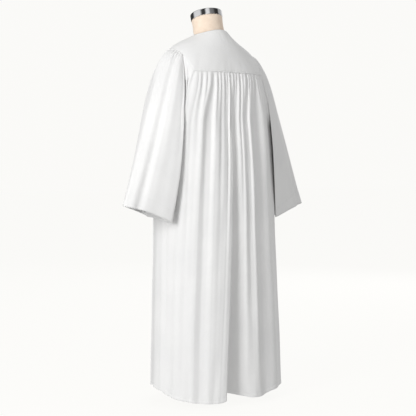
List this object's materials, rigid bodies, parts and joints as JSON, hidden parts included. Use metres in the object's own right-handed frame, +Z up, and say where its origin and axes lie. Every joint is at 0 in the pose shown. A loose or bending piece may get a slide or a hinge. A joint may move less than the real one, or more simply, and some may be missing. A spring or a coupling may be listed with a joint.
{
  "type": "choir robe on a dress form",
  "caption": "Plain white choir robe with a smooth yoke, gathered body and wide bell sleeves, worn by a limbless dress form on a low stand.",
  "frame": {"origin": "centre of the stand's underside, on the surface that it stands on", "axes": "+Z up, -Y to the wearer's front, +Y to the wearer's back, +X to the wearer's left"},
  "size_m": [0.76, 0.3586, 1.3295],
  "materials": {
    "cloth": "matte, a close plain weave",
    "form_cover": "matte linen",
    "cap": "polished",
    "stand": "satin"
  },
  "bodies": {
    "root": {"back_yoke": "cloth", "front_yoke_left": "cloth", "front_yoke_right": "cloth", "back_panel": "cloth", "front_panel_left": "cloth", "front_panel_right": "cloth", "sleeve_left": "cloth", "sleeve_right": "cloth", "form_torso": "form_cover", "neck_cap": "cap", "stand_pole": "stand", "stand_base": "stand"}
  },
  "joints": []
}
